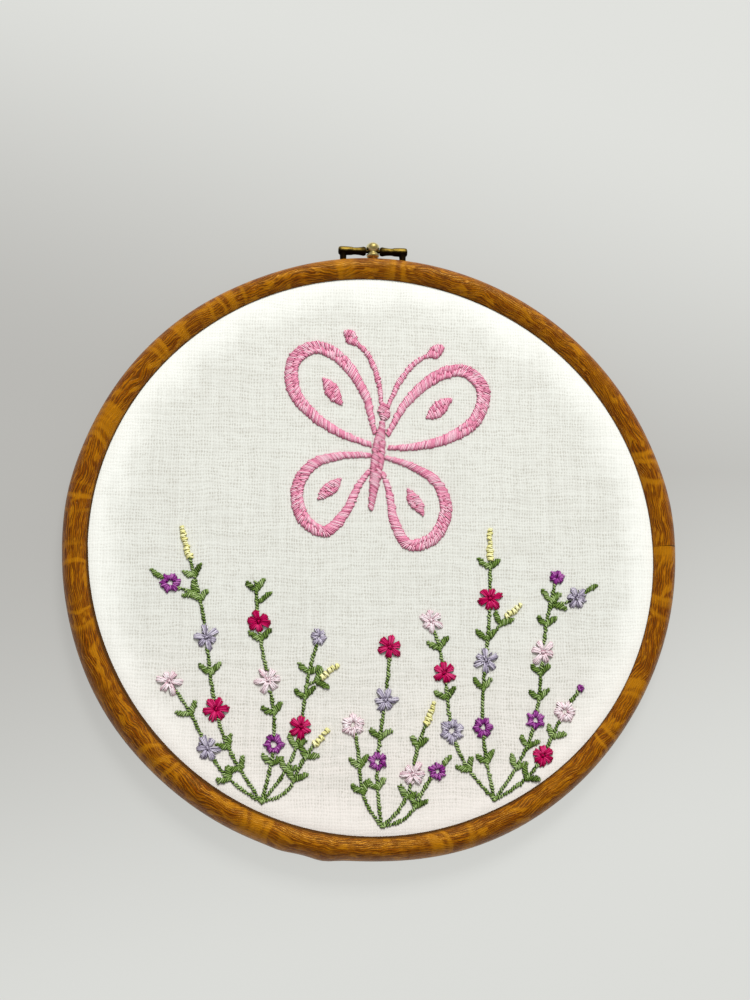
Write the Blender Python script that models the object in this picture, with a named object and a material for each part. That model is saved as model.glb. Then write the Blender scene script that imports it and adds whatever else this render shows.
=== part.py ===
"""An embroidered cloth stretched in a round display hoop, lying on its back with its face up."""

import math

import bmesh
import bpy
from mathutils import Matrix, Vector

MM = 0.001
GAP = 0.3 * MM  # air between neighbouring pieces
BORE_ROOM = 0.4 * MM  # room round a rod in its bore, whose flat sides come nearer
CUT_BEYOND = 1.5 * MM  # how far a socket's cutter stands out of the face that it cuts
MERGE_DISTANCE = 0.01 * MM

# Outer ring: a moulded ring with a flat back, a rounded front and a lip over the cloth.
RING_RADIUS = 109.6 * MM  # to the outside
RING_DEPTH = 12.0 * MM
LIP_RADIUS = 100.9 * MM  # the opening that shows the cloth
GROOVE_RADIUS = 104.3 * MM  # inner wall behind the lip
CROWN_RADIUS = 105.2 * MM  # where the front is highest
BACK_ROUND = 3.0 * MM  # rounding between the back and the outside
SHOULDER_HEIGHT = 5.0 * MM  # where the rounded front starts on the outside
LIP_TOP = 10.1 * MM  # where the rounded front ends on the inside
ROUND_STEPS = 5

# Cloth: one thin sheet over the inner ring, with its margin turned in behind.
CLOTH_THICKNESS = 1.0 * MM
CLOTH_TOP = 9.5 * MM
CLOTH_BOTTOM = 1.2 * MM
MARGIN_RADIUS = 88.0 * MM  # inner edge of the turned-in margin
CLOTH_TURN = 1.6 * MM  # outer radius where the cloth turns over the ring's edges
TURN_STEPS = 3

# Inner ring: a plain rigid ring that the cloth is stretched over.
INNER_RING_WIDTH = 3.3 * MM
INNER_RING_CHAMFER = 0.6 * MM

# Hanger: a turned bar on two legs across the top, and a ball standing at its middle.
HANGER_HEIGHT = 6.0 * MM  # above the back of the ring
BAR_RISE = 2.9 * MM  # bar's axis above the ring's outside
BAR_PROFILE = (  # distance from the middle, radius
    ("spindle end", 0.0, 0.7),
    ("spindle shoulder", 2.9, 0.7),
    ("collar start", 2.9, 1.35),
    ("collar crown", 3.3, 1.7),
    ("collar end", 4.0, 1.65),
    ("vase", 5.0, 1.3),
    ("waist start", 6.4, 1.1),
    ("waist end", 7.2, 1.15),
    ("sleeve start", 7.6, 1.4),
    ("sleeve middle", 10.0, 1.5),
    ("sleeve shoulder", 12.1, 1.5),
    ("sleeve edge", 12.6, 1.2),
    ("sleeve end", 12.75, 0.7),
)
BAR_TIP = 0.05 * MM  # slight bulge of the bar's ends
BAR_SIDES = 20
LEG_OFFSET = 11.0 * MM
LEG_TOP_RADIUS = 1.3 * MM
LEG_FOOT_RADIUS = 1.1 * MM
LEG_SINK = 2.5 * MM  # how far the legs go into the ring
FINIAL_PROFILE = (  # height above the ring's outside, radius
    ("post foot", -2.0, 0.9),
    ("post top", 0.3, 0.9),
    ("bead foot", 0.3, 1.7),
    ("bead low", 0.8, 2.3),
    ("bead high", 1.6, 2.3),
    ("bead top", 2.1, 1.8),
    ("waist", 2.6, 1.5),
    ("ball low", 3.0, 1.9),
    ("ball side low", 3.6, 2.3),
    ("ball side", 4.3, 2.45),
    ("ball side high", 5.0, 2.3),
    ("ball high", 5.7, 1.75),
    ("ball top", 6.2, 0.95),
)
FINIAL_TOP = 6.4 * MM
FINIAL_SIDES = 20
FINIAL_BORE_REACH = 4.0 * MM  # past the ball on both sides
BORE_SIDES = 16

RING_SEGMENTS = 80
# The origin lies under the middle of the whole piece, so the ring's centre is a little below it.
RING_CENTRE = Vector((0.0, -FINIAL_TOP / 2, 0.0))


def clear_scene():
    for thing in list(bpy.data.objects):
        bpy.data.objects.remove(thing, do_unlink=True)


def material(name, colour, roughness, metallic=0.0):
    made = bpy.data.materials.new(name)
    made.use_nodes = True
    shader = made.node_tree.nodes["Principled BSDF"]
    shader.inputs["Base Color"].default_value = (*colour, 1.0)
    shader.inputs["Roughness"].default_value = roughness
    shader.inputs["Metallic"].default_value = metallic
    return made


def object_from(mesh_data, name, finish):
    """Links a finished bmesh as an object, shaded smooth up to 40 degrees."""
    bmesh.ops.recalc_face_normals(mesh_data, faces=mesh_data.faces)
    mesh = bpy.data.meshes.new(name)
    mesh_data.to_mesh(mesh)
    mesh_data.free()
    mesh.shade_smooth()
    mesh.set_sharp_from_angle(angle=math.radians(40))
    made = bpy.data.objects.new(name, mesh)
    bpy.context.scene.collection.objects.link(made)
    if finish:
        mesh.materials.append(finish)
    return made


def arc(centre, radii, start, end, steps):
    """Points along an elliptical arc, its angles in degrees."""
    angles = (math.radians(start + (end - start) * i / steps) for i in range(steps + 1))
    return [(centre[0] + radii[0] * math.cos(a), centre[1] + radii[1] * math.sin(a)) for a in angles]


def turned(profile, sides, closed):
    """Spins (radius, height) points about Z. An open profile starts and ends on the axis."""
    mesh_data = bmesh.new()
    points = [mesh_data.verts.new((radius, 0.0, height)) for radius, height in profile]
    pairs = list(zip(points, points[1:]))
    if closed:
        pairs.append((points[-1], points[0]))
    edges = [mesh_data.edges.new(pair) for pair in pairs]
    bmesh.ops.spin(
        mesh_data, geom=points + edges, cent=(0, 0, 0), axis=(0, 0, 1),
        angle=math.tau, steps=sides, use_merge=True,
    )
    bmesh.ops.remove_doubles(mesh_data, verts=mesh_data.verts, dist=MERGE_DISTANCE)
    return mesh_data


def ring_profile():
    outside = arc(
        (RING_RADIUS - BACK_ROUND, BACK_ROUND), (BACK_ROUND, BACK_ROUND), -90, 0, ROUND_STEPS
    )
    front = arc(
        (CROWN_RADIUS, SHOULDER_HEIGHT),
        (RING_RADIUS - CROWN_RADIUS, RING_DEPTH - SHOULDER_HEIGHT),
        0, 90, ROUND_STEPS + 2,
    )
    lip = arc(
        (CROWN_RADIUS, LIP_TOP), (CROWN_RADIUS - LIP_RADIUS, RING_DEPTH - LIP_TOP), 90, 180, ROUND_STEPS
    )
    under_lip = CLOTH_TOP + GAP
    groove = [(LIP_RADIUS, under_lip), (GROOVE_RADIUS, under_lip), (GROOVE_RADIUS, 0.0)]
    return outside + front + lip[1:] + groove


def cloth_profile():
    """Up the outer face from the margin's edge to the middle, and back along the inner face."""
    side = GROOVE_RADIUS - GAP
    turn_centre = side - CLOTH_TURN
    inner_turn = CLOTH_TURN - CLOTH_THICKNESS
    low = CLOTH_BOTTOM + CLOTH_TURN
    high = CLOTH_TOP - CLOTH_TURN
    outer = arc((turn_centre, low), (CLOTH_TURN, CLOTH_TURN), -90, 0, TURN_STEPS)
    outer += arc((turn_centre, high), (CLOTH_TURN, CLOTH_TURN), 0, 90, TURN_STEPS)
    inner = arc((turn_centre, high), (inner_turn, inner_turn), 90, 0, TURN_STEPS)
    inner += arc((turn_centre, low), (inner_turn, inner_turn), 0, -90, TURN_STEPS)
    edge = [(MARGIN_RADIUS, CLOTH_BOTTOM + CLOTH_THICKNESS), (MARGIN_RADIUS, CLOTH_BOTTOM)]
    middle = [(0.0, CLOTH_TOP), (0.0, CLOTH_TOP - CLOTH_THICKNESS)]
    return middle[1:] + inner + edge + outer + middle[:1]


def inner_ring_profile():
    outside = GROOVE_RADIUS - GAP - CLOTH_THICKNESS - GAP
    inside = outside - INNER_RING_WIDTH
    bottom = CLOTH_BOTTOM + CLOTH_THICKNESS + GAP
    top = CLOTH_TOP - CLOTH_THICKNESS - GAP
    cut = INNER_RING_CHAMFER
    corners = [(inside, bottom), (outside - cut, bottom), (outside, bottom + cut)]
    return corners + [(outside, top - cut), (outside - cut, top), (inside, top)]


def place_on_ring(made, across=0.0, rise=0.0, turn=None):
    """Moves an object to the top of the ring, at the hanger's height."""
    place = RING_CENTRE + Vector((across, RING_RADIUS + rise, HANGER_HEIGHT))
    made.matrix_world = Matrix.Translation(place) @ (turn or Matrix.Identity(4))


def along_y():
    """Turns a Z axis to +Y, away from the ring's centre."""
    return Matrix.Rotation(-math.pi / 2, 4, "X")


def along_x():
    return Matrix.Rotation(math.pi / 2, 4, "Y")


def rod(name, radius_low, radius_high, low, high, sides, finish=None):
    """A tapered rod along Z between two heights."""
    profile = [(0.0, low), (radius_low, low), (radius_high, high), (0.0, high)]
    return object_from(turned(profile, sides, closed=False), name, finish)


def cut_or_join(target, tool, operation):
    tool.hide_render = True
    tool.display_type = "WIRE"
    modifier = target.modifiers.new(f"{operation.lower()} {tool.name}", "BOOLEAN")
    modifier.operation = operation
    modifier.solver = "EXACT"
    modifier.object = tool


def make_outer_ring():
    finish = material("moulded_faux_wood", (0.30, 0.12, 0.02), 0.45)
    ring = object_from(turned(ring_profile(), RING_SEGMENTS, closed=True), "outer_ring", finish)
    ring.location = RING_CENTRE
    sockets = (
        ("left_leg_socket", -LEG_OFFSET, LEG_FOOT_RADIUS, LEG_SINK),
        ("finial_socket", 0.0, FINIAL_PROFILE[0][2] * MM, -FINIAL_PROFILE[0][1] * MM),
        ("right_leg_socket", LEG_OFFSET, LEG_FOOT_RADIUS, LEG_SINK),
    )
    for name, across, radius, sink in sockets:
        width = radius + BORE_ROOM
        cutter = rod(name, width, width, -sink - GAP, CUT_BEYOND, BORE_SIDES)
        place_on_ring(cutter, across, turn=along_y())
        cut_or_join(ring, cutter, "DIFFERENCE")
    return ring


def make_inner_ring():
    finish = material("rigid_plastic", (0.62, 0.50, 0.34), 0.5)
    profile = inner_ring_profile()
    ring = object_from(turned(profile, RING_SEGMENTS, closed=True), "inner_ring", finish)
    ring.location = RING_CENTRE
    return ring


def make_cloth():
    finish = material("stitched_linen", (0.84, 0.82, 0.76), 0.85)
    cloth = object_from(turned(cloth_profile(), RING_SEGMENTS, closed=False), "cloth", finish)
    cloth.location = RING_CENTRE
    return cloth


def make_hanger_bar():
    finish = material("antique_brass", (0.20, 0.15, 0.05), 0.4, metallic=1.0)
    right = [(radius * MM, height * MM) for _, height, radius in BAR_PROFILE[1:]]
    left = [(radius, -height) for radius, height in reversed(right)]
    tip = right[-1][1] + BAR_TIP
    profile = [(0.0, -tip)] + left + right + [(0.0, tip)]
    bar = object_from(turned(profile, BAR_SIDES, closed=False), "hanger_bar", finish)
    place_on_ring(bar, rise=BAR_RISE, turn=along_x())
    for name, across in (("left_leg", -LEG_OFFSET), ("right_leg", LEG_OFFSET)):
        leg = rod(name, LEG_FOOT_RADIUS, LEG_TOP_RADIUS, -LEG_SINK, BAR_RISE, BAR_SIDES)
        place_on_ring(leg, across, turn=along_y())
        cut_or_join(bar, leg, "UNION")
    return bar


def make_hanger_finial():
    finish = material("polished_brass", (0.55, 0.45, 0.18), 0.2, metallic=1.0)
    shape = [(radius * MM, height * MM) for _, height, radius in FINIAL_PROFILE]
    profile = [(0.0, shape[0][1])] + shape + [(0.0, FINIAL_TOP)]
    finial = object_from(turned(profile, FINIAL_SIDES, closed=False), "hanger_finial", finish)
    place_on_ring(finial, turn=along_y())
    reach = FINIAL_BORE_REACH
    bore_radius = BAR_PROFILE[0][2] * MM + BORE_ROOM
    bore = rod("finial_bore", bore_radius, bore_radius, -reach, reach, BORE_SIDES)
    place_on_ring(bore, rise=BAR_RISE, turn=along_x())
    cut_or_join(finial, bore, "DIFFERENCE")
    return finial


def main():
    clear_scene()
    make_outer_ring()
    make_inner_ring()
    make_cloth()
    make_hanger_bar()
    make_hanger_finial()


main()
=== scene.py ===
import math
import random

import bpy
import numpy as np
from mathutils import Matrix, Vector


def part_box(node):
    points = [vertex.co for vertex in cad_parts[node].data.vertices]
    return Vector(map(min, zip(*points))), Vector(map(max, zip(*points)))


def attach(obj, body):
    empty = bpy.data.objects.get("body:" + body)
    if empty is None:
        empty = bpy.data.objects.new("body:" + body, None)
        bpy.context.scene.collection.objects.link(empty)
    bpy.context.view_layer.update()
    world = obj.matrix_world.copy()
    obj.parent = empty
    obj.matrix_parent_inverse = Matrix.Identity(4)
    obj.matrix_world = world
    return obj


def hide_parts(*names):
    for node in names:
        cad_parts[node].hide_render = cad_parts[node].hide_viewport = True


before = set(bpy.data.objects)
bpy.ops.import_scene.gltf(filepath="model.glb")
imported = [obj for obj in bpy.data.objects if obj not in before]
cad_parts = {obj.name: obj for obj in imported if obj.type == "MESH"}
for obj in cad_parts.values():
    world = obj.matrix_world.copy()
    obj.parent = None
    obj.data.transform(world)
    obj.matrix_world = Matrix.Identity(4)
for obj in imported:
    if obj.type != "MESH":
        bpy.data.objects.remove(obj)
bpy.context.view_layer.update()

mm = 0.001

# Places and sizes that the frame gives
ringLow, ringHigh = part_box("outer_ring")
clothLow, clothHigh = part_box("cloth")
finialLow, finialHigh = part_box("hanger_finial")
hoopCentre = Vector(((ringLow.x + ringHigh.x) / 2, (ringLow.y + ringHigh.y) / 2, 0.0))
hoopRadius = (ringHigh.x - ringLow.x) / 2
hoopDepth = ringHigh.z
clothSide = (clothHigh.x - clothLow.x) / 2  # the cloth's radius between the two rings
clothFace = clothHigh.z


# Shader maths

def operator(operation):
    return lambda wire, *others: wire.math(operation, *others)


class Wire:
    # one output socket, with the operators that the finishes below use
    def __init__(self, finish, socket):
        self.finish = finish
        self.socket = socket

    def math(self, operation, *others):
        return self.finish.add("ShaderNodeMath", {"operation": operation}, dict(enumerate((self, *others))))

    __add__ = __radd__ = operator("ADD")
    __mul__ = __rmul__ = operator("MULTIPLY")
    __sub__ = operator("SUBTRACT")
    __truediv__ = operator("DIVIDE")
    __abs__ = operator("ABSOLUTE")
    largest = operator("MAXIMUM")

    def __rsub__(self, other):
        return self * -1.0 + other

    def wave(self):
        # a sine of this many turns, from 0 to 1
        return (self * math.tau).math("SINE") * 0.5 + 0.5

    def rise(self, low, high):
        # climbs smoothly from 0 at low to 1 at high
        return self.finish.add(
            "ShaderNodeMapRange", {"interpolation_type": "SMOOTHSTEP"}, {0: self, 1: low, 2: high}
        )


class Finish:
    # a material: one Principled shader and the nodes that feed it
    def __init__(self, name, constants):
        self.material = bpy.data.materials.new(name)
        self.material.use_nodes = True
        self.nodes = self.material.node_tree.nodes
        self.links = self.material.node_tree.links
        self.shader = self.nodes["Principled BSDF"]
        for socket, value in constants.items():
            self.shader.inputs[socket].default_value = value

    def add(self, kind, settings=None, values=None, output=0):
        node = self.nodes.new(kind)
        for key, value in (settings or {}).items():
            setattr(node, key, value)
        for key, value in (values or {}).items():
            self.join(value, node.inputs[key])
        return Wire(self, node.outputs[output])

    def join(self, value, socket):
        if isinstance(value, Wire):
            self.links.new(value.socket, socket)
        else:
            socket.default_value = value

    def feed(self, name, value):
        self.join(value, self.shader.inputs[name])

    def split(self, vector):
        return [self.add("ShaderNodeSeparateXYZ", None, {0: vector}, axis) for axis in range(3)]

    def place(self):
        # metres from the middle of the frame
        return self.add("ShaderNodeTexCoord", output=3)

    def noise(self, vector, detail=1.0, roughness=0.5, scale=1.0):
        values = {"Vector": vector, "Scale": scale, "Detail": detail, "Roughness": roughness}
        return self.add("ShaderNodeTexNoise", None, values)

    def cloud(self, x, y, z=0.0, detail=1.0, roughness=0.5):
        # noise over coordinates of its own, of one unit's size
        vector = self.add("ShaderNodeCombineXYZ", None, {0: x, 1: y, 2: z})
        return self.noise(vector, detail, roughness)

    def mix(self, factor, first, second):
        return self.add("ShaderNodeMix", {"data_type": "RGBA"}, {0: factor, 6: first, 7: second}, 2)

    def layers(self, colour, *coats):
        # a colour with others laid over it, each a (factor, colour)
        for factor, over in coats:
            colour = self.mix(factor, colour, over)
        return colour

    def bump(self, height, distance, strength):
        values = {"Height": height, "Distance": distance, "Strength": strength}
        self.feed("Normal", self.add("ShaderNodeBump", None, values))


def shade(red, green, blue):
    # a colour as seen on a screen, 0 to 255, made into the linear one that a shader takes
    def linear(value):
        part = value / 255
        return part / 12.92 if part <= 0.04045 else ((part + 0.055) / 1.055) ** 2.4
    return (linear(red), linear(green), linear(blue), 1.0)


# Helpers for modelling

def deselectAll():
    if bpy.context.object and bpy.context.object.mode != "OBJECT":
        bpy.ops.object.mode_set(mode="OBJECT")
    bpy.ops.object.select_all(action="DESELECT")


def settle(piece, name, finish):
    # names a piece, gives it its finish and hangs it on the frame
    piece.name = name
    piece.data.name = name
    piece.data.materials.clear()
    piece.data.materials.append(finish)
    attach(piece, "root")


def arcPoints(centre, radii, start, end, steps):
    angles = [math.radians(start + (end - start) * i / steps) for i in range(steps + 1)]
    return [(centre[0] + radii[0] * math.cos(a), centre[1] + radii[1] * math.sin(a)) for a in angles]


def polar(point):
    return math.hypot(point.x, point.y), math.atan2(point.y, point.x)


def spin(points, turns, closed=True):
    # stands a section of (radius, height) points beside the Z axis and spins it once round
    deselectAll()
    bpy.ops.mesh.primitive_circle_add(vertices=len(points), radius=0.01, fill_type="NOTHING")
    piece = bpy.context.object
    for vertex, (radius, height) in zip(piece.data.vertices, points):
        vertex.co = (radius, 0.0, height)
    if not closed:
        ends = {0, len(points) - 1}
        for vertex in piece.data.vertices:
            vertex.select = False
        for edge in piece.data.edges:
            edge.select = set(edge.vertices) == ends
        bpy.ops.object.mode_set(mode="EDIT")
        bpy.ops.mesh.select_mode(type="EDGE")
        bpy.ops.mesh.delete(type="EDGE")
        bpy.ops.mesh.select_mode(type="VERT")
    bpy.ops.object.mode_set(mode="EDIT")
    bpy.ops.mesh.select_all(action="SELECT")
    bpy.ops.mesh.spin(steps=turns, angle=math.tau, center=(0, 0, 0), axis=(0, 0, 1))
    bpy.ops.mesh.select_all(action="SELECT")
    bpy.ops.mesh.remove_doubles(threshold=0.01 * mm)
    bpy.ops.mesh.normals_make_consistent(inside=False)
    bpy.ops.object.mode_set(mode="OBJECT")
    piece.data.shade_smooth()
    return piece


def writeCornerMap(piece, name, place):
    # a UV map whose value at each face corner is place(corner's position, middle of its face)
    layer = piece.data.uv_layers.new(name=name)
    for face in piece.data.polygons:
        middle = face.center.copy()
        for loop in face.loop_indices:
            corner = piece.data.vertices[piece.data.loops[loop].vertex_index].co
            layer.data[loop].uv = place(corner, middle)


def moveMesh(piece, matrix):
    piece.data.transform(matrix)
    piece.data.update()


# Camera, light and floor

viewpoint = {
    "azimuth": -28.0,
    "elevation": 77.2,
    "roll": -0.3,  # degrees that the hanger leans to the right of upright
    "lens": 60.0,
    "heightInView": 0.3563,  # metres of the face that fill the frame's height
    "shiftAcross": 0.0009,
    "shiftUp": 0.0512,
}


def placeCamera():
    turn = math.radians(viewpoint["azimuth"])
    tilt = math.radians(viewpoint["elevation"])
    back = Vector((math.sin(turn) * math.cos(tilt), -math.cos(turn) * math.cos(tilt), math.sin(tilt)))
    up = (Vector((0, 1, 0)) - back * back.y).normalized()
    right = up.cross(back)
    aim = Matrix((right, up, back)).transposed().to_4x4()
    aim = aim @ Matrix.Rotation(math.radians(viewpoint["roll"]), 4, "Z")
    bpy.ops.object.camera_add()
    camera = bpy.context.object
    camera.data.lens = viewpoint["lens"]
    camera.data.shift_x = viewpoint["shiftAcross"]
    camera.data.shift_y = viewpoint["shiftUp"]
    camera.data.clip_start = 0.01
    distance = viewpoint["heightInView"] * viewpoint["lens"] / camera.data.sensor_width
    target = hoopCentre + Vector((0, 0, 5.0 * mm))
    camera.matrix_world = Matrix.Translation(target + back * distance) @ aim
    bpy.context.scene.camera = camera


studio = {
    "surround": 0.41,
    "lights": (
        # name, place, watts, size
        ("keyLight", (0.26, 1.22, 1.32), 29.5, 0.6),
        ("lowLight", (0.30, 1.46, 0.55), 2.0, 0.5),
        ("fillLight", (-0.55, -0.45, 0.70), 0.5, 1.0),
    ),
    "floorPale": shade(220, 221, 217),
    "floorShadeBand": shade(183, 182, 178),
    "floorGlow": 0.825,  # the table is lit from below too
    "floorDrop": 0.2 * mm,
}


def makeStudio():
    world = bpy.data.worlds.new("softSurround")
    world.use_nodes = True
    background = world.node_tree.nodes["Background"]
    background.inputs["Color"].default_value = (1.0, 1.0, 0.985, 1.0)
    background.inputs["Strength"].default_value = studio["surround"]
    bpy.context.scene.world = world
    bpy.context.scene.view_settings.view_transform = "Standard"
    for name, place, watts, size in studio["lights"]:
        bpy.ops.object.light_add(type="AREA", location=place)
        light = bpy.context.object
        light.name = name
        light.data.energy = watts
        light.data.size = size
        light.rotation_euler = Vector(place).to_track_quat("Z", "Y").to_euler()
    deselectAll()
    bpy.ops.mesh.primitive_plane_add(size=6.0, location=(0, 0, -studio["floorDrop"]))
    floor = bpy.context.object
    floor.name = "paleFloor"
    finish = Finish("paleFloor", {"Roughness": 0.9, "Emission Strength": studio["floorGlow"]})
    x, y, _ = finish.split(finish.place())
    # painted shade: the floor is darker in a band across the middle, most of all to the left
    shadeBand = (abs(y - 0.03) + x * 0.29 + 0.016).rise(0.0, 0.19)
    colour = finish.mix(shadeBand, studio["floorShadeBand"], studio["floorPale"])
    finish.feed("Base Color", finish.mix(0.85, colour, shade(0, 0, 0)))
    finish.feed("Emission Color", colour)
    floor.data.materials.append(finish.material)


print("camera and studio")
placeCamera()
makeStudio()


# Outer ring: moulded faux oak

rim = {
    "crown": 105.2 * mm,  # radius where the front is highest
    "lip": (100.5 * mm, 9.30 * mm),  # radius and height of the lip's edge
    "lipUnder": (101.0 * mm, 9.08 * mm),
    "lipSlope": 60.0,  # degrees, where the front ends at the lip
    "groove": 104.3 * mm,
    "grooveTop": clothFace + 0.3 * mm,
    "backRound": 3.0 * mm,
    "shoulder": 5.0 * mm,
    "turns": 300,
    "seamAngle": 1.4,  # degrees from +X to the mould's seam
    # low lumps and hollows on the outside and on the lip: angle, half width in degrees, height
    "outerLumps": (
        (-150, 12, 0.4 * mm), (-107.5, 2.4, 0.4 * mm), (-99.5, 2.6, 0.9 * mm), (-90, 13, -0.9 * mm),
        (-31, 24, -1.0 * mm), (10, 9, 0.5 * mm), (113, 14, -0.7 * mm), (170, 8, 0.4 * mm),
    ),
    "lipLumps": ((-150, 28, 0.40 * mm), (-66, 22, 0.45 * mm), (66, 20, 0.35 * mm)),
}

oak = {
    "brown": shade(153, 86, 0),
    "red": shade(122, 57, 0),
    "dark": shade(60, 24, 0),
    "pale": shade(190, 122, 12),
    "ochre": shade(186, 120, 8),
    "seamAndShade": shade(52, 25, 3),
    "lipShadeAngle": -128.0,  # degrees from +X where the painted shade on the lip is deepest
}


def rimSection():
    crown, back, shoulder = rim["crown"], rim["backRound"], rim["shoulder"]
    outside = arcPoints((hoopRadius - back, back), (back, back), -90, 0, 7)
    front = arcPoints((crown, shoulder), (hoopRadius - crown, hoopDepth - shoulder), 0, 90, 14)
    lipRadius, lipHeight = rim["lip"]
    slope = math.radians(rim["lipSlope"])
    reach = (crown - lipRadius) / math.sin(slope)
    drop = (hoopDepth - lipHeight) / (1 - math.cos(slope))
    lip = arcPoints((crown, hoopDepth - drop), (reach, drop), 90, 90 + rim["lipSlope"], 10)
    inside = [rim["lipUnder"], (rim["groove"], rim["grooveTop"]), (rim["groove"], 0.0)]
    return outside + front + lip[1:] + inside


def lumpRim(piece):
    # the moulded ring is a little uneven, most of all low on the left
    crown, lip = rim["crown"], rim["lip"][0]
    for vertex in piece.data.vertices:
        radius, angle = polar(vertex.co)
        outward = max(0.0, (radius - crown) / (hoopRadius - crown))
        inward = max(0.0, (crown - radius) / (crown - lip)) * (vertex.co.z > rim["lipUnder"][1] - 0.1 * mm)
        swellBy = 0.0
        for share, lumps in ((outward, rim["outerLumps"]), (-inward, rim["lipLumps"])):
            for centre, width, height in lumps:
                swellBy += height * share * math.exp(-((math.degrees(angle) - centre) / width) ** 2)
        vertex.co.xy *= 1 + swellBy / radius


def grainPlace(corner, middle):
    # metres along the ring from its seam, and metres over the front from outside to lip
    seam = math.radians(rim["seamAngle"])
    radius, angle = polar(corner)
    here = (polar(middle)[1] - seam) % math.tau
    there = (angle - seam) % math.tau
    there += math.tau * round((here - there) / math.tau)
    over = math.atan2(corner.z - hoopDepth / 2, radius - rim["crown"])
    return (there * hoopRadius, over * hoopDepth * 0.42)


def oakFinish():
    wood = Finish("mouldedFauxOak", {"Specular IOR Level": 0.40, "Specular Tint": (1.0, 0.62, 0.14, 1.0)})
    along, across, _ = wood.split(wood.add("ShaderNodeUVMap", {"uv_map": "grain"}))
    turn = along / hoopRadius + math.radians(rim["seamAngle"] - oak["lipShadeAngle"])
    along = along / mm
    across = across / mm

    # the grain lies along the ring, wanders to either side and ripples
    wander = wood.cloud(along / 24.0, across / 16.0) - 0.5
    sway = wood.cloud(along / 6.5, across / 4.5, 1.0) - 0.5
    ripple = wood.cloud(along / 2.0, across / 1.2, 2.0, 2.0) - 0.5
    flow = across + wander * 8.0 + sway * 1.7 + ripple * 0.45
    fine = wood.cloud(along / 5.0, flow / 0.26, 3.0, 1.0)
    broad = wood.cloud(along / 10.0, flow / 0.95, 4.0, 1.0)
    lines = (flow / 0.68).wave()
    pores = wood.cloud(along / 1.2, flow / 0.22, 6.0, 1.0, 0.6)
    darkLines = (lines * 0.25 + fine * 0.75).rise(0.48, 0.58)
    paleLines = 1.0 - fine.rise(0.36, 0.48)

    # smooth ochre flames lie slantwise, and bands bow across the grain in groups
    flames = wood.cloud(along / 6.0 + across / 5.0, flow / 2.4, 8.0, 1.0, 0.5).rise(0.57, 0.68)
    curl = wood.cloud(along / 40.0, 4.0, 1.0, 0.0) - 0.5
    bowed = along + (across - 6.5) * (across - 6.5) * curl * 0.75 + sway * 2.4
    groups = wood.cloud(along / 22.0, 2.0, 7.0, 0.0).rise(0.47, 0.56)
    ridge = abs(wood.cloud(bowed / 6.0, across / 40.0, 9.0, 0.0) - 0.5)
    bands = (1.0 - ridge.rise(0.03, 0.12)) * groups
    smooth = flames.largest(bands)

    seamLine = 1.0 - abs(along - 0.3 + across * 0.10).rise(0.15, 0.50)
    # painted shade: the lip's inner edge is darkened all round, deepest low on the left
    lipShadeAround = turn.math("COSINE") * 0.5 + 0.5
    inner = (across + lipShadeAround * lipShadeAround * 1.2).rise(12.0, 13.1)
    # painted shade: the outside wall of the ring is darker
    outer = 1.0 - across.rise(-2.5, 2.5)

    wood.feed("Base Color", wood.layers(
        oak["brown"],
        (broad.rise(0.40, 0.58), oak["red"]),
        (paleLines * 0.50, oak["pale"]),
        (darkLines * 0.66, oak["dark"]),
        (smooth * 0.66, oak["ochre"]),
        (pores.rise(0.57, 0.70) * (1.0 - smooth * 0.7) * 0.38, oak["dark"]),
        (seamLine * 0.8, oak["seamAndShade"]),
        (outer * 0.5, oak["dark"]),
        (inner * 0.92, oak["seamAndShade"]),
    ))
    wood.feed("Roughness", 0.31 + darkLines * 0.18 + inner * 0.35)
    wood.bump(0.6 - darkLines * 0.6 - pores * 0.6 - seamLine, 0.18 * mm, 0.85)
    return wood.material


def makeRim():
    piece = spin(rimSection(), rim["turns"])
    lumpRim(piece)
    writeCornerMap(piece, "grain", grainPlace)
    moveMesh(piece, Matrix.Translation(hoopCentre))
    piece.data.set_sharp_from_angle(angle=math.radians(50))
    settle(piece, "fauxOakRim", oakFinish())
    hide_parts("outer_ring")


print("outer ring")
makeRim()


# Inner ring

def plasticFinish():
    plain = Finish("plainMouldedRing", {"Roughness": 0.5})
    mottle = plain.noise(plain.place(), 3.0, 0.5, 400.0)
    plain.feed("Base Color", plain.mix(mottle, shade(196, 172, 136), shade(172, 146, 108)))
    plain.bump(mottle, 0.05 * mm, 0.5)
    return plain.material


print("inner ring")
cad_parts["inner_ring"].data.materials.clear()
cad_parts["inner_ring"].data.materials.append(plasticFinish())


# Hanger: a turned bar on two legs, and the ball between

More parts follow.
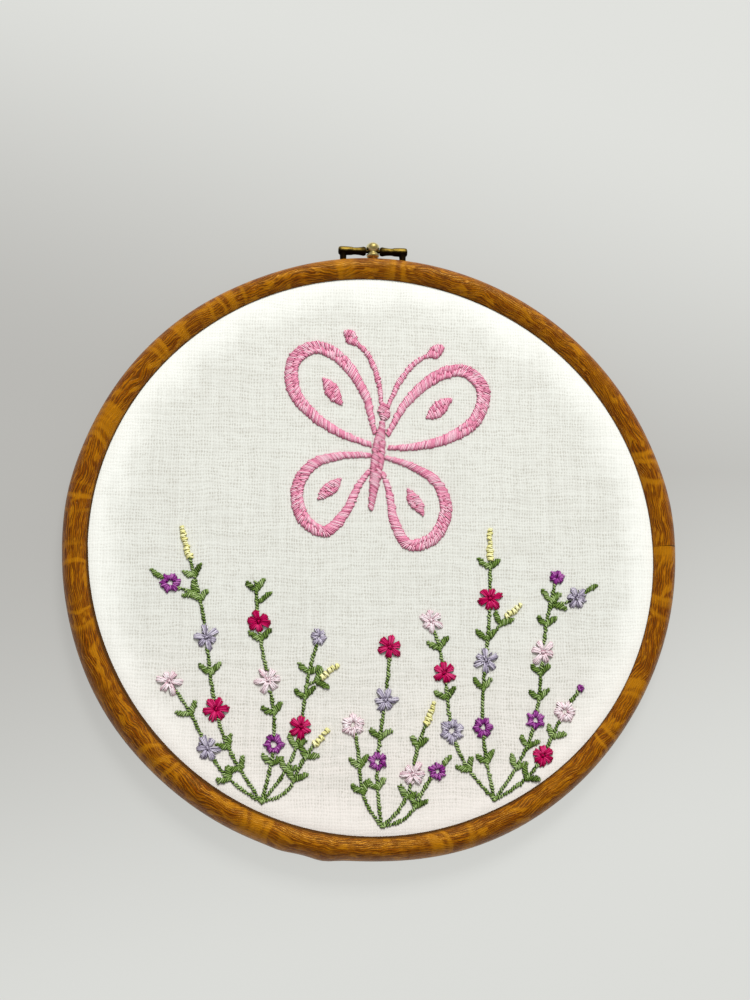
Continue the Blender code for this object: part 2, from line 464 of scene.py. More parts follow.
hanger = {
    "height": (finialLow.z + finialHigh.z) / 2,
    "barRise": 2.9 * mm,  # bar's axis above the ring's outside
    "sides": 48,
    # distance from the middle of the bar and radius, in millimetres
    "bar": (
        (0.0, 0.70), (2.45, 0.70),  # spindle
        (2.55, 1.20), (2.75, 1.50), (3.30, 1.68), (3.70, 1.70), (4.05, 1.58),  # collar
        (4.60, 1.50), (5.40, 1.40), (6.40, 1.33), (7.10, 1.35),  # vase and waist
        (7.50, 1.44), (7.90, 1.54), (9.80, 1.63), (11.60, 1.63), (12.25, 1.55),  # sleeve
        (12.62, 1.28), (12.77, 0.80), (12.80, 0.0),  # rounded end
    ),
    "legOffset": 11.0 * mm,
    # height above the ring's outside and radius, in millimetres
    "leg": ((-2.2, 0.0), (-2.2, 1.1), (0.4, 1.2), (2.0, 1.3), (2.9, 1.3), (2.9, 0.0)),
    "finial": (
        (-1.9, 0.0), (-1.9, 0.9), (0.25, 0.9),  # post
        (0.35, 1.60), (0.60, 2.05), (0.90, 2.30), (1.25, 2.38),  # bead
        (1.60, 2.28), (1.95, 1.95), (2.20, 1.62),
        (2.50, 1.48),  # waist
        (2.80, 1.62), (3.20, 2.05), (3.70, 2.35), (4.25, 2.45), (4.80, 2.38),  # ball
        (5.35, 2.08), (5.85, 1.52), (6.20, 0.92), (6.38, 0.0),
    ),
}


def hangerPlace(across, rise, turn):
    place = hoopCentre + Vector((across, hoopRadius + rise, hanger["height"]))
    return Matrix.Translation(place) @ turn


def turnedPiece(profile):
    return spin([(radius * mm, height * mm) for height, radius in profile], hanger["sides"], closed=False)


def brassFinish(name, light, dark, shine, shadeAndReflectionAt):
    # brass, darker where the mask given paints shade and reflection
    brass = Finish(name, {"Metallic": 1.0})
    place = brass.place()
    cloudy = brass.noise(place, 2.0, 0.5, 700.0)
    grain = brass.noise(place, 1.0, 0.5, 4000.0)
    x, y, z = brass.split(place)
    paintedShadeAndReflection = shadeAndReflectionAt(x, y, z, cloudy)
    brass.feed("Base Color", brass.mix(paintedShadeAndReflection, light, dark))
    brass.feed("Roughness", cloudy * 0.12 + paintedShadeAndReflection * 0.12 + shine)
    brass.bump(grain, 0.02 * mm, 0.35)
    return brass.material


def makeHanger():
    alongX = Matrix.Rotation(math.pi / 2, 4, "Y")
    alongY = Matrix.Rotation(-math.pi / 2, 4, "X")
    right = hanger["bar"][1:]
    left = [(-height, radius) for height, radius in reversed(right)]
    bar = turnedPiece(left + list(right))
    moveMesh(bar, hangerPlace(0.0, hanger["barRise"], alongX))
    for side in (-1, 1):
        leg = turnedPiece(hanger["leg"])
        moveMesh(leg, hangerPlace(side * hanger["legOffset"], 0.0, alongY))
        join = bar.modifiers.new("leg", "BOOLEAN")
        join.operation = "UNION"
        join.object = leg
        bpy.context.view_layer.objects.active = bar
        bpy.ops.object.modifier_apply(modifier=join.name)
        bpy.data.objects.remove(leg)
    bar.data.shade_smooth()
    bar.data.set_sharp_from_angle(angle=math.radians(42))
    ball = turnedPiece(hanger["finial"])
    moveMesh(ball, hangerPlace(0.0, 0.0, alongY))

    outside = hoopCentre.y + hoopRadius

    def barShade(x, y, z, cloudy):
        # painted shade: the side that faces the ring is nearly black, and so are the collars beside the ball
        side = 1.0 - ((y - outside) / mm + cloudy * 1.2).rise(2.9, 4.4)
        collar = 1.0 - abs((x - hoopCentre.x) / mm).rise(3.3, 5.6)
        return side.largest(collar * 0.85)

    def ballReflectionAndShade(x, y, z, cloudy):
        # painted reflection, darker and duller on the crown that faces forward, and painted shade in the
        # joint between ball and bead
        crown = ((z - hanger["height"]) / mm).rise(1.3, 2.3)
        joint = 1.0 - abs((y - outside) / mm - 2.5).rise(0.15, 0.75)
        return crown.largest(joint) * 0.85

    settle(bar, "turnedBar", brassFinish(
        "antiqueBrass", shade(130, 108, 44), shade(26, 17, 7), 0.40, barShade))
    settle(ball, "brassBall", brassFinish(
        "polishedBrass", shade(250, 240, 190), shade(140, 120, 50), 0.30, ballReflectionAndShade))
    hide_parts("hanger_bar")
    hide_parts("hanger_finial")


print("hanger")
makeHanger()


# Cloth: taut linen, turned in behind

linen = {
    "thickness": 0.4 * mm,
    "dipStart": 96.5 * mm,  # radius where the taut face starts to fall towards the ring
    "dipEnd": 101.9 * mm,
    "dip": 0.70 * mm,
    "dipRows": 8,
    "shoulder": 1.9 * mm,  # how far the cloth rounds over, down into the groove
    "shoulderAngle": 78,
    "turn": 1.6 * mm,
    "low": clothLow.z,
    "marginRadius": 88.0 * mm,
    "flatRows": 20,
    "marginRows": 9,
    "turns": 240,
    "gathers": 46,
    "gatherDepth": 0.9 * mm,
    "sag": 0.5 * mm,  # of the slower waves of the margin
    "pitchAcross": 0.98 * mm,
    "pitchDown": 1.26 * mm,
    "bright": shade(245, 246, 239),
    "body": shade(227, 228, 220),
    "hole": shade(178, 174, 162),
    "thin": shade(206, 205, 196),
    "warm": shade(243, 233, 226),
}


def linenProfile():
    # radius and height from the middle along the outer face, and the length of cloth so far
    turn, start, end = linen["turn"], linen["dipStart"], linen["dipEnd"]
    points = [(start * i / linen["flatRows"], clothFace) for i in range(linen["flatRows"])]
    for i in range(linen["dipRows"] + 1):
        share = i / linen["dipRows"]
        points.append((start + (end - start) * share, clothFace - linen["dip"] * share ** 2))
    shoulder = linen["shoulder"]
    centre = (end, clothFace - linen["dip"] - shoulder)
    points += arcPoints(centre, (clothSide - end, shoulder), linen["shoulderAngle"], 0, 5)
    edge = clothSide - turn
    points += arcPoints((edge, linen["low"] + turn), (turn, turn), 0, -90, 5)
    rows = linen["marginRows"]
    points += [(edge + (linen["marginRadius"] - edge) * i / rows, linen["low"]) for i in range(1, rows + 1)]
    lengths = [0.0]
    for here, there in zip(points, points[1:]):
        lengths.append(lengths[-1] + math.dist(here, there))
    return points, lengths


def gatherMargin(piece):
    # the margin lies in small soft gathers, deepest at its trimmed edge
    start = clothSide - linen["turn"]
    for vertex in piece.data.vertices:
        radius, angle = polar(vertex.co)
        if vertex.co.z > linen["low"] + 0.6 * mm or radius > start:
            continue
        share = (start - radius) / (start - linen["marginRadius"])
        wave = math.sin(linen["gathers"] * angle + 1.3 * math.sin(5 * angle) + 0.9 * math.sin(11 * angle))
        vertex.co.z += linen["gatherDepth"] * share * (0.55 + 0.45 * wave)
        vertex.co.z += linen["sag"] * share * math.sin(7 * angle + 2.0) ** 2
        vertex.co.xy *= 1 + share * (0.010 * math.sin(3 * angle + 1.0) + 0.006 * math.sin(13 * angle))


def linenFinish():
    cloth = Finish("plainWeaveLinen", {"Roughness": 0.85, "Sheen Weight": 0.12, "Specular IOR Level": 0.2})
    x, y, _ = cloth.split(cloth.add("ShaderNodeUVMap", {"uv_map": "cut"}))
    x = x / mm
    y = y / mm

    # threads wander a little, and cross over and under each other
    sway = cloth.cloud(x / 11.0, y / 16.0) - 0.5
    drift = cloth.cloud(x / 16.0, y / 11.0, 4.0) - 0.5
    jitter = cloth.cloud(x / 2.6, y / 1.3, 5.0) - 0.5
    shiver = cloth.cloud(x / 1.3, y / 2.6, 6.0) - 0.5
    u = x / (linen["pitchAcross"] / mm) + sway * 2.0 + shiver * 0.9
    v = y / (linen["pitchDown"] / mm) + drift * 2.0 + jitter * 0.9
    a = (u * math.pi).math("SINE")
    b = (v * math.pi).math("SINE")
    crossing = a * b * 0.40
    weave = (abs(a) * 0.72 + crossing).largest(abs(b) - crossing) * 0.70 + abs(a) * 0.30
    close = cloth.cloud(x / 4.5, y / 3.5, 13.0, 1.0).rise(0.38, 0.62)

    # each thread has its own thickness and tone, which changes along it
    upright = cloth.cloud(u * 0.8, v * 0.03, 7.0, 2.0)
    level = cloth.cloud(u * 0.03, v * 0.8, 9.0, 2.0)
    slubs = upright * 0.45 + level * 0.55
    fuzz = cloth.cloud(x / 0.5, y / 0.5, 11.0, 2.0)

    radius = (x * x + y * y).math("SQRT")
    patchy = cloth.cloud(x / 14.0, y / 14.0, 3.0, 2.0) - 0.5
    # painted light: the cloth is lit whiter towards the rim
    litNearRim = (radius + patchy * 12.0).rise(84.0, 99.0)
    plain = 1.0 - litNearRim * 0.70  # the weave shows less near the rim, where the margin lies behind and the painted light is brightest
    lowDown = 1.0 - y.rise(-95.0, -15.0)

    cloth.feed("Base Color", cloth.layers(
        linen["body"],
        (litNearRim, linen["bright"]),
        (lowDown * 0.7, linen["warm"]),
        ((1.0 - slubs.rise(0.40, 0.56)) * plain * 0.34, linen["thin"]),
        ((1.0 - weave.rise(0.22, 0.94)) * plain * (1.0 - close * 0.5) * 0.70, linen["hole"]),
        (fuzz.rise(0.5, 0.75) * 0.25, linen["bright"]),
    ))
    cloth.bump(weave + slubs + fuzz * 0.4, 0.10 * mm, 0.35)
    return cloth.material


def makeLinen():
    points, lengths = linenProfile()
    piece = spin(points, linen["turns"], closed=False)

    def cutPlace(corner, middle):
        radius, angle = polar(corner)
        gaps = [(r - radius) ** 2 + (z - corner.z) ** 2 for r, z in points]
        run = lengths[gaps.index(min(gaps))]
        return (run * math.cos(angle), run * math.sin(angle))

    writeCornerMap(piece, "cut", cutPlace)
    gatherMargin(piece)
    moveMesh(piece, Matrix.Translation(hoopCentre))
    if max(piece.data.polygons, key=lambda face: face.center.z).normal.z < 0:
        piece.data.flip_normals()
    wall = piece.modifiers.new("thickness", "SOLIDIFY")
    wall.thickness = linen["thickness"]
    wall.offset = -1.0
    bpy.context.view_layer.objects.active = piece
    bpy.ops.object.modifier_apply(modifier=wall.name)
    piece.data.shade_smooth()
    settle(piece, "stretchedLinen", linenFinish())
    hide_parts("cloth")
    return piece, lengths[-1]


print("cloth")
stretchedLinen, cutRadius = makeLinen()


# Thread: every stitch is a raised strand. From here on, stitches are planned in millimetres from the
# middle of the hoop.

thread = {
    "sides": 5,
    "stations": (0.0, 0.07, 0.28, 0.72, 0.93, 1.0),
    "endWidth": 0.5,
    "flatness": 0.8,
    "sink": 0.15,
    "loose": 0.07,  # how unevenly the strands lie side by side
    "ragged": 0.16,  # how unevenly they end
    "heights": (0.88, 1.12),
    "radii": (0.90, 1.08),
    "tones": (0.68, 1.24),
    "fullHalf": 1.6,  # half width from which satin stands at its full height
    "splitOver": 4.2,  # a wider place is covered by two shorter stitches that meet unevenly
    "splitAt": (0.30, 0.70),
    "splitOverlap": 0.05,
}

backThread = {
    "sides": 4,
    "stations": (0.0, 0.25, 0.75, 1.0),
    "endWidth": 0.6,
    "flatness": 0.45,
    "heights": (0.1, -0.22),  # of the ends, and between them
    "shift": 0.25,  # behind, each stitch lies a step along from the one in front
    "bobbin": shade(238, 238, 232),
}


def turned(way, degrees):
    angle = math.radians(degrees)
    return (
        way[0] * math.cos(angle) - way[1] * math.sin(angle),
        way[0] * math.sin(angle) + way[1] * math.cos(angle),
    )


def moved(point, *steps):
    # a point moved by (way, distance) steps
    return [point[i] + sum(way[i] * distance for way, distance in steps) for i in (0, 1)]


def makeStrand(sides, stations):
    # one strand along X from 0 to 1, drawn out of a small disc station by station
    deselectAll()
    bpy.ops.mesh.primitive_circle_add(
        vertices=sides, radius=1.0, fill_type="NGON", rotation=(0, math.pi / 2, 0)
    )
    strand = bpy.context.object
    bpy.ops.object.transform_apply(location=True, rotation=True, scale=True)
    bpy.ops.object.mode_set(mode="EDIT")
    bpy.ops.mesh.select_all(action="SELECT")
    for here, there in zip(stations, stations[1:]):
        bpy.ops.mesh.extrude_region_move(TRANSFORM_OT_translate={"value": (there - here, 0, 0)})
    bpy.ops.mesh.select_all(action="SELECT")
    bpy.ops.mesh.normals_make_consistent(inside=False)
    bpy.ops.object.mode_set(mode="OBJECT")
    points = np.array([vertex.co[:] for vertex in strand.data.vertices])
    faces = [list(face.vertices) for face in strand.data.polygons]
    bpy.data.objects.remove(strand)
    return points, faces


strandPoints, strandFaces = makeStrand(thread["sides"], thread["stations"])
backPoints, backFaces = makeStrand(backThread["sides"], backThread["stations"])
stitchBacks = []  # the stitches of every colour, for the thread behind the cloth


def layStrands(rows, points, endWidth):
    # a strand along each row: places across the cloth, radii, which points are ends, lengths, sides
    share = points[:, 0]
    ends = (share < 0.001) | (share > 0.999)
    start = rows[:, 0:2] * mm
    along = rows[:, 2:4] * mm - start
    length = np.maximum(np.linalg.norm(along, axis=1), 1e-6)
    side = np.stack([-along[:, 1], along[:, 0]], axis=1) / length[:, None]
    radius = rows[:, 5][:, None] * mm * np.where(ends, endWidth, 1.0)
    flat = start[:, None] + along[:, None] * share[:, None]
    return flat + side[:, None] * (radius * points[:, 1])[..., None], radius, ends, length, side


def joinStrands(name, flat, rise, base, faces):
    # one mesh of all the strands, which stand on the height of the base
    places = np.concatenate([flat, rise[..., None]], axis=2).reshape(-1, 3)
    places += np.array([hoopCentre.x, hoopCentre.y, base])
    count = flat.shape[1]
    data = bpy.data.meshes.new(name)
    data.from_pydata(places.tolist(), [], [
        [corner + count * i for corner in face] for i in range(len(flat)) for face in faces
    ])
    data.shade_smooth()
    return data


def hangStrands(data, finish):
    data.validate()
    piece = bpy.data.objects.new(data.name, data)
    bpy.context.scene.collection.objects.link(piece)
    settle(piece, data.name, finish)
    return piece


class Needlework:
    # the stitches of one colour of thread, gathered until they are made into one mesh
    def __init__(self, seed, colour):
        self.chance = random.Random(seed)
        self.draw = self.chance.uniform
        self.colour = colour
        self.rows = []

    def stitch(self, start, end, height, radius, tone=1.0):
        length = math.dist(start, end) or 1.0
        way = [(end[i] - start[i]) / length for i in (0, 1)]
        row = []
        for point in (start, end):
            slip, reach = self.chance.gauss(0, thread["loose"]), self.chance.gauss(0, thread["ragged"])
            row += moved(point, ((-way[1], way[0]), slip), (way, reach))
        row += [height * self.draw(*thread["heights"]), radius * self.draw(*thread["radii"])]
        self.rows.append(row + [tone * self.draw(*thread["tones"])])

    def across(self, middle, way, half, height, radius, tone=1.0):
        self.stitch(moved(middle, (way, -half)), moved(middle, (way, half)), height, radius, tone)

    def satin(self, route, width, slant=0.5, spacing=0.60, height=0.7, radius=0.34, tone=1.0):
        # stitches side by side across a route; width is a function of the share of its length
        for place, way, share in zip(*evenly(route, spacing)):
            half = width(share) / 2
            side = (way[1], -way[0])
            start = moved(place, (side, half), (way, -half * slant))
            end = moved(place, (side, -half), (way, half * slant))
            crown = height * (0.5 + 0.5 * min(1.0, half / thread["fullHalf"]))
            if 2 * half > thread["splitOver"]:
                part, overlap = self.draw(*thread["splitAt"]), thread["splitOverlap"]
                run = [end[i] - start[i] for i in (0, 1)]
                self.stitch(start, moved(start, (run, part + overlap)), crown, radius, tone)
                self.stitch(moved(start, (run, part - overlap)), end, crown, radius, tone)
            else:
                self.stitch(start, end, crown, radius, tone)

    def build(self, name, finish):
        rows = np.array(self.rows)
        stitchBacks.append((rows, self.colour))
        share = strandPoints[:, 0]
        flat, radius, ends, length, _ = layStrands(rows, strandPoints, thread["endWidth"])
        arch = 1 - np.abs(2 * share - 1) ** 3
        rise = rows[:, 4][:, None] * mm * arch - thread["sink"] * mm * ends
        rise = rise + radius * strandPoints[:, 2] * thread["flatness"]
        data = joinStrands(name, flat, rise, clothFace, strandFaces)

        # tone: how light each strand is, with painted shade where it dives into the cloth
        diveShade = np.clip(np.minimum(share, 1 - share) / 0.10, 0, 1) * 0.5 + 0.5
        tone = data.attributes.new("tone", "FLOAT", "POINT")
        tone.data.foreach_set("value", (rows[:, 6][:, None] * diveShade).ravel())

        # twist: millimetres along the strand, and turns round it
        around = np.arctan2(strandPoints[:, 2], strandPoints[:, 1]) / math.tau
        corners = []
        for face in strandFaces:
            turns = around[face]
            if len(face) == 4 and turns.max() - turns.min() > 0.5:
                turns = np.where(turns < 0, turns + 1, turns)
            corners.append(np.stack([share[face], turns], axis=1))
        corners = np.concatenate(corners)
        tiled = np.tile(corners, (len(rows), 1))
        tiled[:, 0] *= np.repeat(length / mm, len(corners))
        data.uv_layers.new(name="twist").data.foreach_set("uv", tiled.ravel())
        return hangStrands(data, finish)


def smoothRoute(points, steps=24):
    # a smooth line through listed points
    ends = np.array([points[0], *points, points[-1]], dtype=float)
    route = []
    for p0, p1, p2, p3 in zip(ends, ends[1:], ends[2:], ends[3:]):
        square = 2 * p0 - 5 * p1 + 4 * p2 - p3
        cube = 3 * p1 - p0 - 3 * p2 + p3
        for t in np.arange(steps) / steps:
            route.append(p1 + ((p2 - p0) * t + square * t ** 2 + cube * t ** 3) / 2)
    return route + [ends[-1]]


def evenly(route, spacing):
    # places, directions and shares of the length at even steps along a route
    line = np.array(route, dtype=float)
    run = np.concatenate([[0], np.cumsum(np.linalg.norm(np.diff(line, axis=0), axis=1))])
    marks = np.linspace(0, run[-1], max(3, round(run[-1] / spacing) + 1))
    places = np.stack([np.interp(marks, run, line[:, 0]), np.interp(marks, run, line[:, 1])], axis=1)
    ways = np.gradient(places, axis=0)
    return places, ways / np.linalg.norm(ways, axis=1)[:, None], marks / run[-1]


def pointAt(route, share):
    places, ways, _ = evenly(route, 0.2)
    index = min(len(places) - 1, int(share * (len(places) - 1)))
    return places[index], ways[index]


def swell(thin, thick, peak=0.5, power=1.0):
    # a width that grows from thin to thick at the peak and shrinks back again
    def width(share):
        climb = share / peak if share < peak else (1 - share) / (1 - peak)
        return thin + (thick - thin) * math.sin(min(1.0, climb) * math.pi / 2) ** power
    return width


def threadFinish(name, deep, body, light):
    # a twisted glossy thread, with painted shade down its sides and at its ends
    fibre = Finish(name, {"Specular IOR Level": 0.25, "Specular Tint": light})
    length, around, _ = fibre.split(fibre.add("ShaderNodeUVMap", {"uv_map": "twist"}))
    tone = fibre.add("ShaderNodeAttribute", {"attribute_name": "tone"}, output=2)
    # painted shade down the sides of each strand
    sideShade = abs(around - 0.25).rise(0.04, 0.17)
    twist = (length * 1.9 + around * 2.0).wave()
    fuzz = fibre.cloud(length * 2.0, around * 9.0, 0.0, 2.0)
    fibre.feed("Base Color", fibre.layers(
        deep,
        (tone.rise(0.30, 0.90), body),
        (tone.rise(0.80, 1.20) * 0.85, light),
        (sideShade * 0.88, deep),
        (twist * 0.16, deep),
    ))
    fibre.feed("Roughness", fuzz * 0.25 + 0.34)
    fibre.bump(twist + fuzz, 0.06 * mm, 0.5)
    return fibre.material


# Pink butterfly

butterfly = {
    "centre": (1.5, 36.5),
    "lean": -8.0,
    "size": 0.94,
    "spacing": 0.56,
    "strand": 0.37,
    "bodyHeight": 1.0,
    "colours": (shade(166, 54, 96), shade(248, 164, 192), shade(255, 222, 232)),
    # name, route of the right half, thinnest and widest width, where it is widest, and slant
    "halves": (
        ("upper wing", [
            (2.5, 6), (8, 20), (18, 32), (29, 36), (37, 29), (35, 17), (25, 8), (13, 3), (3.5, 1),
        ], 1.7, 5.0, 0.50, 0.55),
        ("lower wing", [
            (3, -3), (14, -5), (24, -10), (28.5, -20), (25, -31), (16, -35), (9.5, -27), (6, -16), (2.5, -9),
        ], 1.6, 4.6, 0.48, 0.55),
        ("feeler", [(1.2, 17), (4, 27), (9, 36), (15.5, 41)], 1.4, 2.0, 0.5, 0.4),
        ("feeler tip", [(13.5, 40), (19.5, 44)], 1.2, 5.0, 0.55, 0.3),
        ("upper spot", [(16.5, 15), (25, 24)], 0.9, 5.6, 0.5, 0.3),
        ("lower spot", [(13, -14), (20, -23)], 0.9, 4.9, 0.5, 0.3),
    ),
    "middle": (
        ("body", [(0, -24), (0, -8), (0, 4), (0, 11.5)], 1.6, 4.8, 0.62, 0.45),
        ("head", [(0, 12), (0, 17.5)], 2.2, 5.0, 0.5, 0.3),
    ),
}


def butterflyRoute(points, side):
    size = butterfly["size"]
    shifts = [turned((side * x * size, y * size), butterfly["lean"]) for x, y in points]
    return smoothRoute([moved(butterfly["centre"], (shift, 1)) for shift in shifts])


def makeButterfly():
    work = Needlework(11, butterfly["colours"][1])
    for side in (-1, 1):
        for _, points, thin, thick, peak, slant in butterfly["halves"]:
            work.satin(
                butterflyRoute(points, side), swell(thin, thick, peak), side * slant,
                butterfly["spacing"], radius=butterfly["strand"],
            )
    for _, points, thin, thick, peak, slant in butterfly["middle"]:
        width = swell(thin, thick, peak)
        work.satin(butterflyRoute(points, 1), width, slant, height=butterfly["bodyHeight"])
    return work.build("pinkButterfly", threadFinish("pinkThread", *butterfly["colours"]))


print("pink butterfly")
pinkButterfly = makeButterfly()


# Flower sprays

threadColours = {
    "green": (shade(14, 30, 0), shade(118, 148, 66), shade(184, 206, 140)),
    "crimson": (shade(104, 0, 36), shade(197, 9, 86), shade(232, 70, 132)),
    "lavender": (shade(88, 76, 98), shade(202, 194, 214), shade(242, 236, 247)),
    "purple": (shade(58, 6, 60), shade(150, 50, 146), shade(206, 130, 200)),
    "blush": (shade(208, 166, 178), shade(255, 244, 246), shade(255, 254, 254)),
    "yellow": (shade(194, 184, 96), shade(255, 252, 180), shade(255, 254, 214)),
}

# Three sprays stand on the lower rim and fan out, each from its angle on the rim. A stem is its lean in
# degrees from upright, to the left if above zero, its length, its bow, and what grows on it. Blooms stand
# at shares of its length, leaf pairs fill the gaps between them, and a shoot turns off it at a share too.
sprayPlan = (
    (-114, (
        (38, 52, 3.5, {"blooms": [(0.50, "lavender", "star"), (1.0, "blush", "star")]}),
        (17, 88, 5, {"blooms": [(0.40, "crimson", "star"), (0.68, "lavender", "star")], "spike": 12,
            "shoots": [(0.80, 40, 14, -2, {"blooms": [(1.0, "purple", "ring")], "leafTip": 8})]}),
        (2, 76, -4, {"blooms": [(0.26, "purple", "ring"), (0.55, "blush", "star"), (0.82, "crimson", "star")],
            "twig": (0.90, 1)}),
        (-19, 60, -4, {"blooms": [(0.48, "crimson", "star"), (1.0, "lavender", "bud")],
            "shoots": [(0.68, -40, 7, 1, {"spike": 8})]}),
        (-43, 26, -3, {"spike": 8}),
    )),
    (-89, (
        (16, 36, 2.5, {"blooms": [(1.0, "blush", "ring")]}),
        (-3, 62, 2, {"blooms": [
            (0.36, "purple", "ring"), (0.70, "lavender", "star"), (1.0, "crimson", "star")]}),
        (-24, 38, -3, {"blooms": [(0.55, "blush", "star")], "spike": 9}),
        (-46, 27, -3, {"blooms": [(1.0, "purple", "ring")], "leafTip": 7}),
    )),
    (-65, (
        (19, 66, 5, {"blooms": [
            (0.42, "lavender", "ring"), (0.72, "crimson", "star"), (1.0, "blush", "star")]}),
        (0, 84, 3, {"blooms": [
            (0.30, "purple", "ring"), (0.58, "lavender", "star"), (0.84, "crimson", "star")],
            "spike": 12, "shoots": [(0.70, -46, 8, -1, {"spike": 8})]}),
        (-17, 82, -5, {"blooms": [(0.38, "purple", "ring"), (0.67, "blush", "star"), (1.0, "purple", "bud")],
            "shoots": [(0.82, -44, 13, 2, {"blooms": [(1.0, "lavender", "star")], "leafTip": 9})]}),
        (-39, 50, -3.5, {"blooms": [
            (0.46, "crimson", "star"), (0.80, "blush", "ring"), (1.0, "purple", "knot")]}),
    )),
)

spray = {
    "rootRadius": 97.0,
    "bends": 24,
    "bowSkew": 0.45,  # a stem bows most below its middle
    # width, and the length from its root to its lowest leaf pair
    "stem": (1.25, 13.0),
    "shoot": (1.0, 5.16),
    "coreStep": 2.4,
    "leafStep": 8.6,
    "clearOfBloom": 6.2,
    "clearOfTip": 1.5,
    "leafLeans": (36, 56),
    "leafLengths": (4.0, 5.2),
    "leafWidth": 2.3,
    "leafTones": (0.8, 1.1),
}

bloom = {
    "size": {"star": 4.25, "ring": 3.5, "bud": 2.9, "knot": 1.3},  # radius
    "sizes": (0.93, 1.07),
    "hollow": {"ring": 0.27, "bud": 0.12, "knot": 0.12},  # share of the radius that stays open
    # radius of the strands, unevenness and growth: the paler threads are finer, and their blooms are
    # larger and less even
    "plain": (0.35, 0.12, 1.0),
    "pale": (0.27, 0.25, 1.1),
    "paleRing": (0.33, 0.18, 1.22),
    "paleColours": ("blush", "lavender"),
    "petals": 6,
    "petalStrands": 5,
    "petalWidths": (1.15, 1.40),
    "ringSpacing": 0.66,
    "loops": 8,  # loose strands on top of a pale bloom
    "knotSpacing": 1.5,
    "knotStrand": 0.40,
    "cover": 0.8,  # share of a bloom's radius where no stem is stitched
}


def growStem(plan, root, facing, sort):
    # a stem leaves its root, leans and bows; its shoots follow it in the list
    lean, length, bow, growth = plan
    width, mark = spray[sort]
    way = turned((0, 1), facing + lean)
    route = []
    for i in range(spray["bends"] + 1):
        share = i / spray["bends"]
        aside = math.sin(math.pi * share) + spray["bowSkew"] * math.sin(2 * math.pi * share)
        route.append(moved(root, (way, length * share), (turned(way, 90), bow * aside)))
    blooms = growth.get("blooms", ())
    leaves = []
    while mark < length - spray["clearOfTip"]:
        if all(abs(mark - share * length) > spray["clearOfBloom"] for share, _, _ in blooms):
            leaves.append(mark / length)
        mark += spray["leafStep"]
    grown = [dict(growth, blooms=blooms, route=route, width=width, leaves=leaves)]
    for at, *shoot in growth.get("shoots", ()):
        place, onward = pointAt(route, at)
        grown += growStem(shoot, place, math.degrees(math.atan2(-onward[0], onward[1])), "shoot")
    return grown


def growSprays():
    grown = []
    for rootAngle, stems in sprayPlan:
        root = turned((spray["rootRadius"], 0), rootAngle)
        for stem in stems:
            grown += growStem(stem, root, 0, "stem")
    return grown


def leaf(work, root, way, length, width, tone):
    middle = moved(root, (way, length / 2), (turned(way, 90), 0.3))
    work.satin(
        smoothRoute([root, middle, moved(root, (way, length))], 8), swell(1.1, width, 0.60, 0.6), 0.6,
        spacing=0.74, height=0.8, radius=0.38, tone=tone,
    )


def star(work, centre, size, radius, rough):
    # petals, each a fan of strands that run outward, round a raised middle
    turn = 360 / bloom["petals"]
    first = work.draw(0, turn)
    for k in range(bloom["petals"]):
        way = turned((1, 0), first + turn * k + work.draw(-7, 7))
        side = turned(way, 90)
        reach = size * work.draw(1 - rough, 1 + rough * 0.5)
        wide = work.draw(*bloom["petalWidths"]) * (1 - rough)
        for offset in np.linspace(-1, 1, bloom["petalStrands"]):
            root = moved(centre, (way, 0.5), (side, offset * 0.42))
            outward = reach * (1 - work.draw(0.04, 0.18) * offset ** 2)
            work.stitch(root, moved(centre, (way, outward), (side, offset * wide)), 0.95, radius)
    for k in range(3):
        work.across(centre, turned((1, 0), first + turn * k), 0.8, 1.2, radius, 0.85)


def ring(work, centre, size, radius, rough, hollow):
    # strands that fan out round an open middle, a little longer in six lobes
    count = int(math.tau * size / bloom["ringSpacing"])
    first = work.draw(0, math.tau)
    for k in range(count):
        angle = math.tau * (k + work.draw(-0.2, 0.2)) / count
        lobe = 0.92 + 0.11 * math.cos(6 * angle + first)
        outward = size * lobe * work.draw(1 - rough * 0.7, 1 + rough * 0.6)
        inward = size * hollow * work.draw(0.75, 1.30)
        way = (math.cos(angle), math.sin(angle))
        work.stitch(moved(centre, (way, inward)), moved(centre, (way, outward)), 0.9, radius)


def tangle(work, centre, size, radius):
    # short loose strands across the top of an untidy bloom
    for k in range(bloom["loops"]):
        outward = 360 / bloom["loops"] * k + work.draw(-30, 30)
        place = turned((size * work.draw(0.3, 0.9), 0), outward)
        half = work.draw(0.4, 0.9)
        way = turned((1, 0), outward + work.draw(-50, 50))
        work.across(moved(centre, (place, 1)), way, half, 1.15, radius, work.draw(0.55, 1.25))


def spike(work, root, way, length):
    # little knots one above the other, smaller towards the tip
    knots = max(3, round(length / bloom["knotSpacing"]))
    side = turned(way, 90)
    for k in range(knots):
        share = (k + 0.5) / knots
        half = (1.30 - 0.50 * share) * work.draw(0.85, 1.15)
        middle = moved(root, (way, length * share), (side, work.draw(-0.25, 0.25)))
        for degrees, shift in ((68, -0.30), (112, 0.0), (90, 0.30)):
            lean = turned(way, degrees + work.draw(-12, 12))
            work.across(moved(middle, (way, shift)), lean, half, 0.95, bloom["knotStrand"])


def stitchBloom(work, place, colour, kind):
    manner = "plain"
    if colour in bloom["paleColours"]:
        manner = "paleRing" if kind == "ring" else "pale"
    radius, rough, grow = bloom[manner]
    size = bloom["size"][kind] * grow * work.draw(*bloom["sizes"])
    before = len(work.rows)
    if kind == "star":
        star(work, place, size, radius, rough)
    else:
        ring(work, place, size, radius, rough, bloom["hollow"][kind])
    if manner != "plain":
        tangle(work, place, size * 0.75, radius)
    for row in work.rows[before:]:
        row[6] *= work.draw(1 - rough * 1.6, 1 + rough)


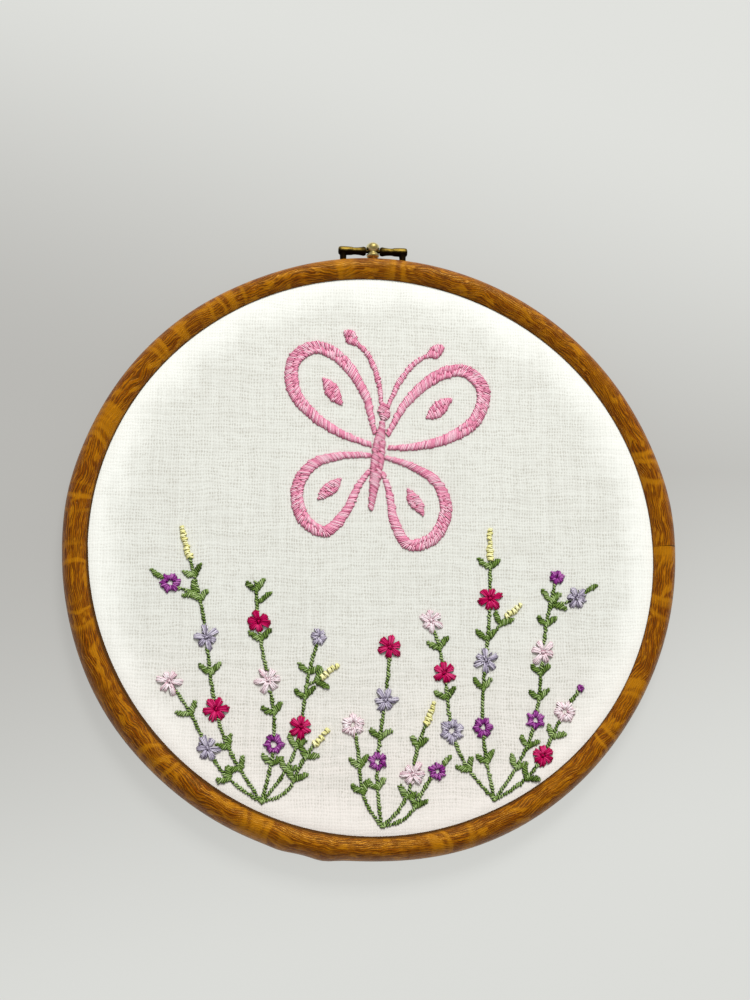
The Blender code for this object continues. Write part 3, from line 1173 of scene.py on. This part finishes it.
def stitchStem(green, row, blooms):
    def bare(stitch):
        middle = ((stitch[0] + stitch[2]) / 2, (stitch[1] + stitch[3]) / 2)
        return all(math.dist(middle, at) > bloom["size"][kind] * bloom["cover"] for at, _, kind in blooms)

    route, width = row["route"], row["width"]
    before = len(green.rows)
    # a core of low running stitches in the deep tone lies under the satin: painted shade that shows in the
    # gaps between its strands
    places, _, _ = evenly(route, spray["coreStep"])
    for start, end in zip(places, places[1:]):
        green.stitch(start, end, 0.25, 0.16 + width * 0.20, 0.30)
    green.satin(route, lambda share: width, 0.80, spacing=1.0, height=0.72, radius=0.39, tone=1.02)
    green.rows[before:] = filter(bare, green.rows[before:])
    for share in row["leaves"]:
        root, way = pointAt(route, share)
        for side in (-1, 1):
            lean = turned(way, side * green.draw(*spray["leafLeans"]))
            length, tone = green.draw(*spray["leafLengths"]), green.draw(*spray["leafTones"])
            leaf(green, root, lean, length, spray["leafWidth"], tone)
    if "twig" in row:
        share, side = row["twig"]
        root, way = pointAt(route, share)
        leaf(green, root, turned(way, -side * 55), 6.6, 1.8, 0.9)
    if "leafTip" in row:
        root, way = pointAt(route, 1.0)
        covered = bloom["size"]["ring"] * bloom["cover"]
        leaf(green, moved(root, (way, covered)), way, row["leafTip"] - covered, 2.0, 1.0)


def makeSprays():
    works = {name: Needlework(21 + i, threadColours[name][1]) for i, name in enumerate(threadColours)}
    stems = growSprays()
    blooms = [
        (pointAt(row["route"], share)[0], colour, kind)
        for row in stems for share, colour, kind in row["blooms"]
    ]
    for row in stems:
        stitchStem(works["green"], row, blooms)
        if "spike" in row:
            spike(works["yellow"], *pointAt(row["route"], 1.0), row["spike"])
    for place, colour, kind in blooms:
        stitchBloom(works[colour], place, colour, kind)
    pieces = []
    for name, work in works.items():
        kind = "Stems" if name == "green" else "Blooms"
        pieces.append(work.build(name + kind, threadFinish(name + "Thread", *threadColours[name])))
    return pieces


print("flower sprays")
sprays = makeSprays()


# Thread behind the cloth: white bobbin thread, with each colour pulled through at the ends of its stitches

def bobbinFinish():
    fibre = Finish("bobbinThread", {"Roughness": 0.6, "Specular IOR Level": 0.2})
    fibre.feed("Base Color", fibre.add("ShaderNodeAttribute", {"attribute_name": "pulledColour"}))
    fibre.bump(fibre.noise(fibre.place(), 2.0, 0.5, 3000.0), 0.05 * mm, 0.5)
    return fibre.material


def makeBacks():
    rows = np.concatenate([rows for rows, _ in stitchBacks])
    pulled = np.concatenate([np.tile(colour, (len(rows), 1)) for rows, colour in stitchBacks])
    flat, radius, ends, _, side = layStrands(rows, backPoints, backThread["endWidth"])
    flat = flat + side[:, None] * backThread["shift"] * mm
    rise = np.where(ends, *backThread["heights"]) * mm + radius * backPoints[:, 2] * backThread["flatness"]
    data = joinStrands("stitchBacks", flat, rise, clothFace - linen["thickness"], backFaces)
    tints = np.where(ends[None, :, None], pulled[:, None], np.array(backThread["bobbin"]))
    data.attributes.new("pulledColour", "FLOAT_COLOR", "POINT").data.foreach_set("color", tints.ravel())
    return hangStrands(data, bobbinFinish())


print("thread behind the cloth")
stitched = [pinkButterfly] + sprays + [makeBacks()]
